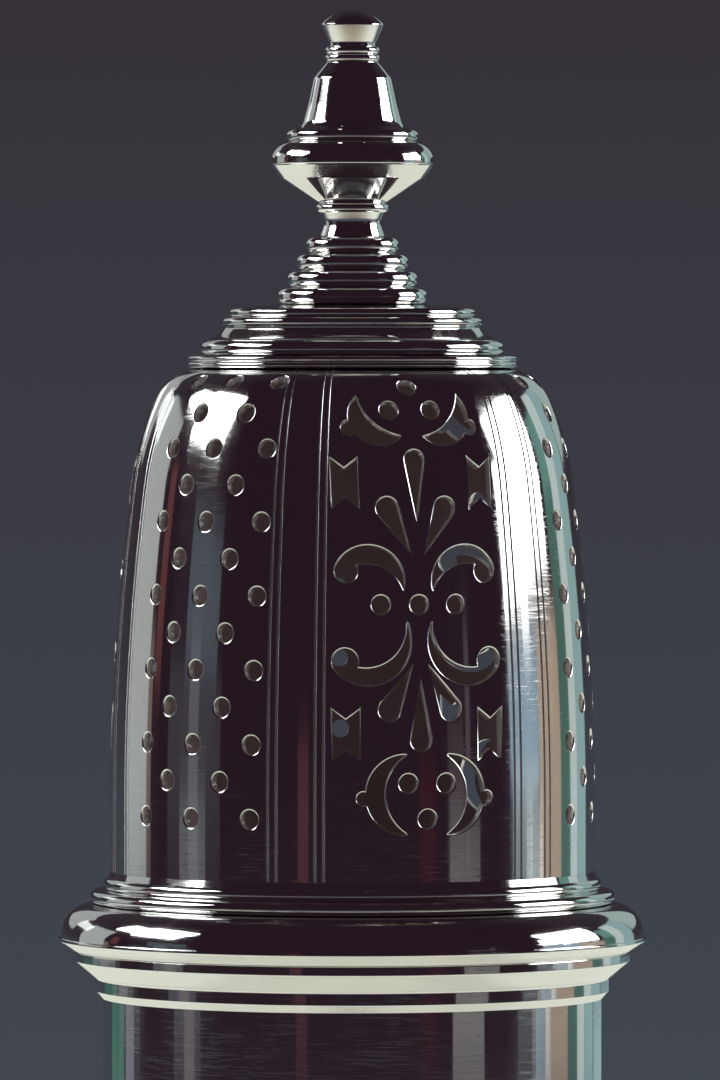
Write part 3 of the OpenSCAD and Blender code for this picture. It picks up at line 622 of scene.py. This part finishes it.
def pierced_dome():
    """Tree that cuts the panels through a flat slab and bends it into the dome."""
    bench, (line_places, meridian_in, saw_in, drill_in, hole_in, base, wall, columns, rows, panels, seam,
            foliage_at, holes_at, column_pitch, column_lean, row_pitch, first_row, hole_rows, line_length,
            line_width, finish) = geometry_bench("pierced dome", (
                ("Line places", "Geometry"), ("Meridian", "Object"), ("Saw cuts", "Object"),
                ("Drill cuts", "Object"), ("Hole", "Object"), ("Base radius", "Float"), ("Wall", "Float"),
                ("Columns", "Int"), ("Rows", "Int"), ("Panels", "Int"), ("Seam turn", "Float"),
                ("Foliage place", "Float"), ("Holes place", "Float"), ("Column pitch", "Float"),
                ("Column lean", "Float"), ("Row pitch", "Float"), ("First row", "Float"),
                ("Hole rows", "Int"), ("Line length", "Float"), ("Line width", "Float"),
                ("Finish", "Material")))
    node = bench.node

    def shape_of(wire):
        return node("GeometryNodeObjectInfo", {}, {"Object": wire}, out="Geometry")

    def at_place(geometry, x, y=0.0):
        spot = node("ShaderNodeCombineXYZ", {}, {"X": x, "Y": y, "Z": 0.0})
        return node("GeometryNodeTransform", {}, {"Geometry": geometry, "Translation": spot})

    def repeated(geometry, width):
        step = node("ShaderNodeCombineXYZ", {}, {"X": width / panels, "Y": 0.0, "Z": 0.0})
        places = node("GeometryNodeMeshLine", {}, {"Count": panels, "Offset": step})
        copies = node("GeometryNodeInstanceOnPoints", {}, {"Points": places, "Instance": geometry})
        return node("GeometryNodeRealizeInstances", {}, {"Geometry": copies})

    def creased(geometry, degrees):
        angle = node("GeometryNodeInputMeshEdgeAngle", out="Unsigned Angle")
        sharp = bench.sum("GREATER_THAN", angle, math.radians(degrees))
        return node("GeometryNodeSetShadeSmooth", {"domain": "EDGE"}, {
            "Geometry": geometry, "Selection": sharp, "Shade Smooth": False})

    width = 2 * math.pi * base
    wall_line = shape_of(meridian_in)

    # Slab, with its rows where the meridian has its points
    position = node("GeometryNodeInputPosition")
    size = node("ShaderNodeCombineXYZ", {}, {"X": width, "Y": 1.0, "Z": wall})
    slab = node("GeometryNodeMeshCube", {}, {
        "Size": size, "Vertices X": columns + 1, "Vertices Y": rows + 1, "Vertices Z": 2})
    x, y, z = node("ShaderNodeSeparateXYZ", {}, {"Vector": position}, out=("X", "Y", "Z"))
    row = bench.sum("ROUND", (y + 0.5) * rows)
    length = node("GeometryNodeSplineParameter", out="Length")
    row_at = node("GeometryNodeSampleIndex", {"data_type": "FLOAT", "domain": "POINT"}, {
        "Geometry": wall_line, "Value": length, "Index": row})
    spot = node("ShaderNodeCombineXYZ", {}, {"X": x + width / 2, "Y": row_at, "Z": z - wall / 2})
    slab = node("GeometryNodeSetPosition", {}, {"Geometry": slab, "Position": spot})

    # Saw cuts of the foliage, and the engraved lines
    bar = node("GeometryNodeCurvePrimitiveLine", {}, {
        "Start": node("ShaderNodeCombineXYZ", {}, {"X": 0.0, "Y": line_length * -0.5, "Z": 0.0}),
        "End": node("ShaderNodeCombineXYZ", {}, {"X": 0.0, "Y": line_length * 0.5, "Z": 0.0})})
    bar = node("GeometryNodeResampleCurve", {}, {"Curve": bar, "Count": rows})
    edge = node("GeometryNodeCurvePrimitiveCircle", {}, {"Resolution": 4, "Radius": line_width * 0.5})
    bar = node("GeometryNodeCurveToMesh", {}, {"Curve": bar, "Profile Curve": edge, "Fill Caps": True})
    bars = node("GeometryNodeInstanceOnPoints", {}, {"Points": line_places, "Instance": bar})
    foliage = at_place(shape_of(saw_in), foliage_at)
    panel = node("GeometryNodeJoinGeometry", {}, {"Geometry": [foliage, bars]})
    cut = node("GeometryNodeMeshBoolean", {"operation": "DIFFERENCE", "solver": "MANIFOLD"}, {
        "Mesh 1": slab, "Mesh 2": repeated(panel, width)})

    # Place and lean of the true wall at a length up it
    there, lean = node("GeometryNodeSampleCurve", {"mode": "LENGTH"}, {"Curves": wall_line, "Length": y},
                       out=("Position", "Tangent"))
    there_radius, there_height = node("ShaderNodeSeparateXYZ", {}, {"Vector": there}, out=("X", "Y"))
    lean_in, lean_up = node("ShaderNodeSeparateXYZ", {}, {"Vector": lean}, out=("X", "Y"))

    # Drilled round ends, and the panels of round holes with every second place of a grid left out
    hole_columns = 5
    rise = (hole_rows - 1) * row_pitch
    grid = node("GeometryNodeMeshGrid", {}, {
        "Size X": (hole_columns - 1) * column_pitch, "Size Y": rise,
        "Vertices X": hole_columns, "Vertices Y": hole_rows})
    index = node("GeometryNodeInputIndex")
    grid_column = bench.sum("FLOOR", (index + 0.5) / hole_rows)
    odd = bench.sum("MODULO", grid_column + (index - grid_column * hole_rows), 2.0)
    grid = node("GeometryNodeDeleteGeometry", {"domain": "POINT"}, {"Geometry": grid, "Selection": odd})
    leaning = node("ShaderNodeCombineXYZ", {}, {"X": column_lean * y / rise, "Y": 0.0, "Z": 0.0})
    grid = node("GeometryNodeSetPosition", {}, {"Geometry": grid, "Offset": leaning})
    grid = at_place(grid, holes_at, first_row + rise / 2)
    stretch = node("ShaderNodeCombineXYZ", {}, {"X": base / there_radius, "Y": 1.0, "Z": 1.0})
    holes = node("GeometryNodeInstanceOnPoints", {}, {
        "Points": grid, "Instance": shape_of(hole_in), "Scale": stretch})
    round_ends = at_place(shape_of(drill_in), foliage_at)
    panel = node("GeometryNodeJoinGeometry", {}, {"Geometry": [round_ends, holes]})
    cut = node("GeometryNodeMeshBoolean", {"operation": "DIFFERENCE", "solver": "MANIFOLD"}, {
        "Mesh 1": cut, "Mesh 2": repeated(panel, width)})

    # The slab's two ends go, because they meet when it is bent round
    normal = node("GeometryNodeInputNormal", out="Normal")
    face_x, _, face_z = node("ShaderNodeSeparateXYZ", {}, {"Vector": normal}, out=("X", "Y", "Z"))
    from_end = bench.sum("MINIMUM", x, width - x)
    sideways = bench.sum("GREATER_THAN", bench.sum("ABSOLUTE", face_x), 0.9)
    end = bench.sum("LESS_THAN", from_end, 0.01) * sideways
    cut = node("GeometryNodeDeleteGeometry", {"domain": "FACE"}, {"Geometry": cut, "Selection": end})

    # Marks made while the slab is flat: the outer (1) and inner (-1) skin, dull faces and rolled edges
    skin = bench.sum("GREATER_THAN", face_z, 0.99) - bench.sum("LESS_THAN", face_z, -0.99)
    cut = node("GeometryNodeStoreNamedAttribute", {"data_type": "FLOAT", "domain": "FACE"}, {
        "Geometry": cut, "Name": "skin", "Value": skin})
    not_outer = bench.sum("LESS_THAN", face_z, 0.3)
    inner = bench.sum("LESS_THAN", face_z, -0.5)
    cut = node("GeometryNodeStoreNamedAttribute", {"data_type": "FLOAT", "domain": "FACE"}, {
        "Geometry": cut, "Name": "dull", "Value": 0.3 * not_outer + 0.7 * inner})
    engraved = bench.sum("LESS_THAN", bench.sum("ABSOLUTE", face_z - math.sqrt(0.5)), 0.05)
    leans_out = bench.sum("GREATER_THAN", face_z, 0.2)
    rolled = (1 - bench.sum("ABSOLUTE", skin)) * leans_out * (1 + 1.4 * engraved)
    cut = node("GeometryNodeStoreNamedAttribute", {"data_type": "FLOAT", "domain": "FACE"}, {
        "Geometry": cut, "Name": "edge", "Value": rolled})

    # The bend, and the direction that the outer skin then faces
    turned = seam + x / base
    sine = bench.sum("SINE", turned)
    cosine = bench.sum("COSINE", turned)
    facing = node("ShaderNodeCombineXYZ", {}, {
        "X": lean_up * sine, "Y": 0 - lean_up * cosine, "Z": 0 - lean_in})
    cut = node("GeometryNodeStoreNamedAttribute", {"data_type": "FLOAT_VECTOR", "domain": "POINT"}, {
        "Geometry": cut, "Name": "facing", "Value": facing})
    reach = there_radius + z * lean_up
    bent_spot = node("ShaderNodeCombineXYZ", {}, {
        "X": reach * sine, "Y": 0 - reach * cosine, "Z": there_height - z * lean_in})
    bent = node("GeometryNodeSetPosition", {}, {"Geometry": cut, "Position": bent_spot})
    bent = node("GeometryNodeMergeByDistance", {}, {"Geometry": bent, "Distance": 0.001})
    bent = node("GeometryNodeTransform", {}, {"Geometry": bent, "Scale": (0.001, 0.001, 0.001)})

    # Shine: both skins take the direction of the true curve, and the edge of each cut rolls over
    bent = node("GeometryNodeSetShadeSmooth", {"domain": "FACE"}, {"Geometry": bent, "Shade Smooth": True})
    bent = creased(bent, 60)
    side = node("GeometryNodeInputNamedAttribute", {"data_type": "FLOAT"}, {"Name": "skin"})
    facing = node("GeometryNodeInputNamedAttribute", {"data_type": "FLOAT_VECTOR"}, {"Name": "facing"})
    facing = node("ShaderNodeVectorMath", {"operation": "SCALE"}, {"Vector": facing, "Scale": side})
    own = node("GeometryNodeInputNormal", out="Normal")
    shine = node("GeometryNodeSwitch", {"input_type": "VECTOR"}, {
        "Switch": bench.sum("ABSOLUTE", side), "False": own, "True": facing})
    bent = node("GeometryNodeStoreNamedAttribute", {"data_type": "FLOAT_VECTOR", "domain": "CORNER"}, {
        "Geometry": bent, "Name": "shine", "Value": shine})
    bent = creased(bent, 15)
    shine = node("GeometryNodeInputNamedAttribute", {"data_type": "FLOAT_VECTOR"}, {"Name": "shine"})
    bent = node("GeometryNodeSetMeshNormal", {"mode": "FREE", "domain": "CORNER"}, {
        "Mesh": bent, "Custom Normal": shine})
    for name in ("skin", "facing", "shine"):
        bent = node("GeometryNodeRemoveAttribute", {}, {"Geometry": bent, "Name": name})
    bent = node("GeometryNodeRealizeInstances", {}, {"Geometry": bent})
    bent = node("GeometryNodeSetMaterial", {}, {"Geometry": bent, "Material": finish})
    node("NodeGroupOutput", {}, {"Geometry": bent})
    return bench.tree


# Angles are in degrees round the dome from the front, to the right, and each panel comes three times.
dome_panels = 3
seam_turn = 50.5
foliage_turn = 16.3
holes_turn = -40.0
hole_column_pitch = 8.15
hole_column_lean = 1.8
engraved_turns = (-67.5, -19.0, -7.7, 42.2)
engraved_gap = 2.05
engraved_low, engraved_high = 1.6, 56.9
engraved_width = 0.4
engraved_depth = 0.15


def round_dome(degrees):
    """Distance round the base of the dome that an angle takes."""
    return math.radians(degrees) * dome_radius


def from_seam(degrees):
    """Distance round the base of the dome from its seam to the first panel at an angle."""
    return round_dome((degrees - seam_turn) % (360 / dome_panels))


engraved_middle = 0.5 * (engraved_low + engraved_high)
dome = new_piece("pierced_dome", [
    (from_seam(degrees + pair * engraved_gap / 2), engraved_middle, engraved_width / 2 - engraved_depth)
    for degrees in engraved_turns for pair in (-1, 1)])
run_tree(dome, pierced_dome(), {
    "Meridian": meridian_curve, "Saw cuts": saw_cuts, "Drill cuts": drill_cuts, "Hole": hole_cut,
    "Base radius": dome_radius, "Wall": dome_wall, "Columns": 240, "Rows": len(meridian) - 1,
    "Panels": dome_panels, "Seam turn": math.radians(seam_turn), "Foliage place": from_seam(foliage_turn),
    "Holes place": from_seam(holes_turn), "Column pitch": round_dome(hole_column_pitch),
    "Column lean": round_dome(hole_column_lean), "Row pitch": 3.65, "First row": 9.3, "Hole rows": 13,
    "Line length": engraved_high - engraved_low, "Line width": engraved_width, "Finish": SILVER})
for tool in (saw_cuts, drill_cuts, hole_cut, meridian_curve):
    bpy.data.objects.remove(tool)
seat(dome, "cover", "cover_dome")


# Cap
# A double-reeded ring and a stepped cap of turned silver close the top of the dome. The cap is hollow
# below, and both are soldered on.

crown = round(float(meridian[-1, 1]), 3)
ring_reed = 0.6
cap_foot = crown + 2 * ring_reed
cap_top = cap_foot + 5.1
ring_inside = 12.35
cap_inside = 10.65

reeded_cap_ring = turn("reeded_cap_ring", [
    (ring_inside, crown, 0.0), *reed(16.55, crown, crown + ring_reed),
    *reed(16.55, crown + ring_reed, cap_foot), (ring_inside, cap_foot, 0.0)])
seat(reeded_cap_ring, "cover", "cap_ring")

stepped_cap = turn("stepped_cap", [
    (cap_inside, cap_foot, 0.0), *reed(15.2, cap_foot, cap_foot + 1.55),
    *bow((14.657, cap_foot + 1.55), (12.728, cap_foot + 2.91), -0.18),
    *reed(13.05, cap_foot + 2.91, cap_foot + 3.83), *reed(12.35, cap_foot + 3.83, cap_foot + 4.75),
    (7.5, cap_top, 0.0), (peg_hole, cap_top, 0.0), (peg_hole, cap_foot + 3.9, 0.0),
    (cap_inside, cap_foot + 3.9, 0.3)])
seat(stepped_cap, "cover", "cover_cap")


# Finial
# Four castings, turned and pegged one into the next: a reeded bell, a knop on a short stem, a spire and
# a button. The bell's peg goes down through the cap and the crown of the dome.

peg_length = 2.0


def peg(shoulder, length=peg_length):
    """Points of the peg below a casting's shoulder."""
    tip = shoulder - length
    return [(0.0, tip, 0.0), (peg_radius, tip, 0.1), (peg_radius, shoulder, 0.0)]


def peg_socket(mouth):
    """Points of the hole that takes the next casting's peg."""
    floor = mouth - peg_length - peg_room
    return [(peg_hole, mouth, 0.0), (peg_hole, floor, 0.0), (0.0, floor, 0.0)]


bell_reeds = 4
bell_reed = 1.7
bell_radius = 7.5
bell_taper = 0.95
bell_top = cap_top + bell_reeds * bell_reed
bell_side = []
for i in range(bell_reeds):
    low = cap_top + i * bell_reed
    bell_side += reed(bell_radius - i * bell_taper, low, low + bell_reed)
reeded_bell = turn("finial_reeded_bell", [*peg(cap_top, 7.6), *bell_side, *peg_socket(bell_top)])
seat(reeded_bell, "cover", "finial_bell")

knop_top = bell_top + 7.1
disc_radius = 8.1
stem_and_knop = turn("finial_stem_and_knop", [
    *peg(bell_top), (3.25, bell_top, 0.1), (2.75, bell_top + 1.4, 1.2), (3.14, bell_top + 2.415, 0.0),
    *reed(3.65, bell_top + 2.4, bell_top + 3.35), (3.32, bell_top + 3.35, 0.0),
    (7.1, bell_top + 5.8, 1.0), (disc_radius, knop_top, 0.0), *peg_socket(knop_top)])
seat(stem_and_knop, "cover", "finial_knop")

spire_top = knop_top + 11.9
tip_reed = 0.77
tip_low = spire_top - 2 * tip_reed
spire_and_disc = turn("finial_spire_and_disc", [
    *peg(knop_top), (disc_radius, knop_top, 0.3),
    *bow((disc_radius, knop_top + 0.8), (6.6, knop_top + 2.4), 0.3),
    *reed(6.6, knop_top + 2.4, knop_top + 3.6), (5.1, knop_top + 3.6, 1.3), (4.41, knop_top + 6.185, 8.0),
    (3.85, knop_top + 8.8, 0.8), (2.55, tip_low, 0.0), *reed(2.735, tip_low, tip_low + tip_reed),
    *reed(2.735, tip_low + tip_reed, spire_top), *peg_socket(spire_top)])
seat(spire_and_disc, "cover", "finial_spire")

button_top = spire_top + 3.699
button = turn("finial_button_top", [
    *peg(spire_top), (2.35, spire_top, 0.05), (2.35, spire_top + 0.4, 0.3), (3.15, spire_top + 2.185, 0.2),
    *bow((3.07, spire_top + 2.295), (0.0, button_top), 0.3675)])
seat(button, "cover", "finial_button")


# Table, light and camera
# A pale table top in a dim plain room, with a window in two parts on the right and two lamps on the left.
# Dim cards stand round the caster for the silver to mirror. A long lens sees it from the front.

def table_top():
    """Matt pale board with a faint mottle and a painted pool of light round the caster, dark away from it,
    that the silver mirrors warmer, with a painted glow.
    """
    material = bpy.data.materials.new("pale table top")
    material.use_nodes = True
    material.node_tree.nodes.clear()
    bench = Bench(material.node_tree)
    place = bench.node("ShaderNodeTexCoord", out="Object")
    mottle = bench.node("ShaderNodeTexNoise", {}, {"Vector": place, "Scale": 35.0, "Detail": 5.0})
    colour = bench.node("ShaderNodeMix", {"data_type": "RGBA"}, {
        0: mottle, 6: (0.80, 0.78, 0.72, 1.0), 7: (0.86, 0.84, 0.79, 1.0)}, out=2)

    # Painted pool of light, as the table shows it, or as the silver mirrors it: further back, with a
    # narrower border
    mirrored = bench.node("ShaderNodeLightPath", out="Is Glossy Ray")
    x, y = bench.node("ShaderNodeSeparateXYZ", {}, {"Vector": place}, out=("X", "Y"))
    away = bench.node("ShaderNodeMapRange", {}, {
        "Value": y, "From Min": -0.2, "From Max": -0.08, "To Min": 0.0, "To Max": 1.0})
    y = y - 0.2 * mirrored
    distance = bench.sum("SQRT", x * x + y * y)
    far = bench.node("ShaderNodeMapRange", {"interpolation_type": "SMOOTHSTEP"}, {
        "Value": distance, "From Min": 0.2 + 0.16 * mirrored, "From Max": 0.6 - 0.18 * mirrored,
        "To Min": 0.0, "To Max": 1.0})
    # Painted reflection: as the silver mirrors it, the table is a darker tan in front and paler further back
    warm = bench.node("ShaderNodeMix", {"data_type": "RGBA"}, {
        0: away, 6: (0.52, 0.45, 0.30, 1.0), 7: (0.61, 0.625, 0.54, 1.0)}, out=2)
    colour = bench.node("ShaderNodeMix", {"data_type": "RGBA"}, {0: mirrored, 6: colour, 7: warm}, out=2)
    # Painted fall-off of light: away from the painted pool, the table darkens to the room's grey
    colour = bench.node("ShaderNodeMix", {"data_type": "RGBA"}, {
        0: far, 6: colour, 7: (0.06, 0.07, 0.085, 1.0)}, out=2)
    # Painted glow: to glossy rays the table also emits its own colour, though it is no lamp
    painted_glow = bench.node("ShaderNodeMix", {"data_type": "RGBA"}, {
        0: mirrored, 6: (0.0, 0.0, 0.0, 1.0), 7: colour}, out=2)
    surface = bench.node("ShaderNodeBsdfPrincipled", {}, {
        "Base Color": colour, "Roughness": 0.6, "Emission Color": painted_glow, "Emission Strength": 0.6})
    bench.node("ShaderNodeOutputMaterial", {}, {"Surface": surface})
    return material


table_radius = 0.7
table_sides = 96
spokes = [2 * math.pi * i / table_sides for i in range(table_sides)]
rim = [(table_radius * math.cos(spoke), table_radius * math.sin(spoke), 0.0) for spoke in spokes]
table = new_piece("table", rim, (), [range(table_sides)])
table.data.materials.append(table_top())

lamp_middle = 0.12


def soft_box(name, azimuth, elevation, distance, width, height, brightness, colour):
    """Area light that faces the caster, at an angle from the front to the right and an angle up."""
    light = bpy.data.lights.new(name, "AREA")
    light.shape = "RECTANGLE"
    light.size, light.size_y = width, height
    light.energy = brightness * math.pi * width * height
    light.color = colour
    lamp = bpy.data.objects.new(name, light)
    bpy.context.collection.objects.link(lamp)
    turn_by, rise = math.radians(azimuth), math.radians(elevation)
    out = distance * math.cos(rise)
    above = lamp_middle + distance * math.sin(rise)
    lamp.location = (out * math.sin(turn_by), -out * math.cos(turn_by), above)
    lamp.rotation_euler = (math.pi / 2 - rise, 0.0, turn_by)
    lamp.visible_camera = False


daylight = (0.95, 0.98, 1.0)
soft_box("right window", 96.8, 11.7, 1.4, 0.85, 0.26, 6.0, daylight)
soft_box("right upper window", 99.5, 24.2, 1.4, 0.74, 0.36, 6.0, daylight)
soft_box("left lamp", -91.0, 32.0, 1.3, 0.55, 0.47, 7.0, daylight)
soft_box("left far lamp", -110.8, 32.0, 1.3, 0.35, 0.27, 7.0, daylight)

card_distance = 1.5
for name, azimuth, elevation, width, height, brightness, colour in (
        ("left far card", -158, 15, 0.53, 0.475, 0.35, (0.93, 1.0, 1.0)),
        ("left high card", -141, 16, 0.40, 0.20, 0.9, (0.93, 1.0, 1.0)),
        ("left pale card", -125, 8.9, 0.56, 0.70, 0.38, (0.93, 1.0, 1.0)),
        ("left tan card", -112.7, -0.5, 0.09, 0.17, 0.15, (1.0, 0.76, 0.58)),
        ("left brown card", -107.5, 7, 0.13, 0.30, 0.09, (1.0, 0.30, 0.24)),
        ("left upper card", -78, 6.5, 0.52, 0.18, 0.085, (0.58, 0.87, 1.0)),
        ("left wide card", -81.5, -0.5, 0.88, 0.18, 0.033, (0.74, 0.90, 1.0)),
        ("left narrow card", -81, 0, 0.16, 0.21, 0.060, (0.95, 0.97, 1.0)),
        ("left low card", -81.5, -4, 0.42, 0.055, 0.14, (0.80, 0.93, 1.0)),
        ("left lowest card", -80, -6.2, 0.16, 0.07, 0.10, (1.0, 0.80, 0.72)),
        ("left lowest grey card", -124, -6.2, 0.21, 0.07, 0.165, (0.90, 0.83, 1.0)),
        ("left lowest green card", -138.3, -6.2, 0.41, 0.07, 0.12, (0.16, 1.0, 0.60)),
        ("front brown card", -23, -2.5, 0.13, 0.15, 0.06, (1.0, 0.33, 0.33)),
        ("front red card", 35.5, -3, 0.20, 0.12, 0.022, (1.0, 0.05, 0.0)),
        ("front grey card", 49.5, -1, 0.21, 0.15, 0.030, (1.0, 0.90, 1.0)),
        ("front grey strip", 56, 1.5, 0.06, 0.26, 0.055, (1.0, 0.90, 1.0)),
        ("front low card", 54.5, -4.9, 0.42, 0.055, 0.24, (1.0, 1.0, 1.0)),
        ("right sill", 93, 5.2, 0.13, 0.075, 1.2, (0.90, 0.98, 1.0)),
        ("right blue card", 89.7, 0.8, 0.515, 0.15, 0.40, (0.48, 0.76, 1.0)),
        ("right low card", 90, -2.2, 0.45, 0.03, 0.45, (0.77, 0.96, 1.0)),
        ("right lower card", 88, -3.55, 0.34, 0.036, 0.30, (0.80, 0.97, 1.0)),
        ("right glint card", 96, -4.1, 0.30, 0.037, 0.46, (0.95, 1.0, 0.90)),
        ("right lowest card", 98, -5, 0.27, 0.052, 0.28, (0.44, 0.73, 1.0)),
        ("right tan card", 108.2, -1.2, 0.46, 0.25, 0.37, (1.0, 0.80, 0.60)),
        ("right green card", 121.5, 0.5, 0.236, 0.34, 0.12, (0.33, 1.0, 0.78)),
        ("right high green card", 122, 14, 0.25, 0.37, 0.24, (0.42, 1.0, 0.85)),
        ("right pale card", 130, 9, 0.21, 0.82, 0.53, (0.83, 1.0, 0.97)),
        ("right far card", 140, 9, 0.315, 0.82, 0.36, (0.60, 1.0, 0.97)),
        ("right farthest card", 157, 15, 0.53, 0.475, 0.38, (0.75, 1.0, 0.95)),
        ("right lowest green card", 157, -6.2, 0.53, 0.07, 0.38, (0.64, 1.0, 1.0))):
    soft_box(name, azimuth, elevation, card_distance, width, height, brightness, colour)

# The camera sees the backdrop, the silver mirrors a darker front of the room, and plain grey fills the shade
world = bpy.data.worlds.new("dim room")
world.use_nodes = True
world.node_tree.nodes.clear()
room = Bench(world.node_tree)
facing = room.node("ShaderNodeTexCoord", out="Generated")
away, up = room.node("ShaderNodeSeparateXYZ", {}, {"Vector": facing}, out=("Y", "Z"))
height = room.node("ShaderNodeMapRange", {}, {
    "Value": up, "From Min": -0.08, "From Max": 0.04, "To Min": 0.0, "To Max": 1.0})
backdrop = room.node("ShaderNodeMix", {"data_type": "RGBA"}, {
    0: height, 6: (0.054, 0.065, 0.081, 1.0), 7: (0.036, 0.029, 0.038, 1.0)}, out=2)
behind = room.node("ShaderNodeMapRange", {"interpolation_type": "SMOOTHSTEP"}, {
    "Value": away, "From Min": 0.2, "From Max": 0.9, "To Min": 0.0, "To Max": 1.0})
mirrored = room.node("ShaderNodeMix", {"data_type": "RGBA"}, {
    0: behind, 6: (0.0195, 0.0092, 0.0165, 1.0), 7: backdrop}, out=2)
camera_ray = room.node("ShaderNodeLightPath", out="Is Camera Ray")
glossy_ray = room.node("ShaderNodeLightPath", out="Is Glossy Ray")
shade = room.node("ShaderNodeMix", {"data_type": "RGBA"}, {
    0: glossy_ray, 6: (0.25, 0.25, 0.25, 1.0), 7: mirrored}, out=2)
shade = room.node("ShaderNodeMix", {"data_type": "RGBA"}, {0: camera_ray, 6: shade, 7: backdrop}, out=2)
light = room.node("ShaderNodeBackground", {}, {"Color": shade, "Strength": 1.0})
room.node("ShaderNodeOutputWorld", {}, {"Surface": light})
bpy.context.scene.world = world

view_distance = 1.0
view_right = 0.00075
view_height = 0.1475
aim_height = 0.129
camera = bpy.data.cameras.new("camera")
camera.sensor_width = 36.0
camera.lens = 333.3
camera.clip_start, camera.clip_end = 0.05, 20.0
viewer = bpy.data.objects.new("camera", camera)
bpy.context.collection.objects.link(viewer)
viewer.location = (view_right, -view_distance, view_height)
viewer.rotation_euler = (math.pi / 2 - math.atan2(view_height - aim_height, view_distance), 0.0, 0.0)
bpy.context.scene.camera = viewer
bpy.context.scene.view_settings.view_transform = "Standard"
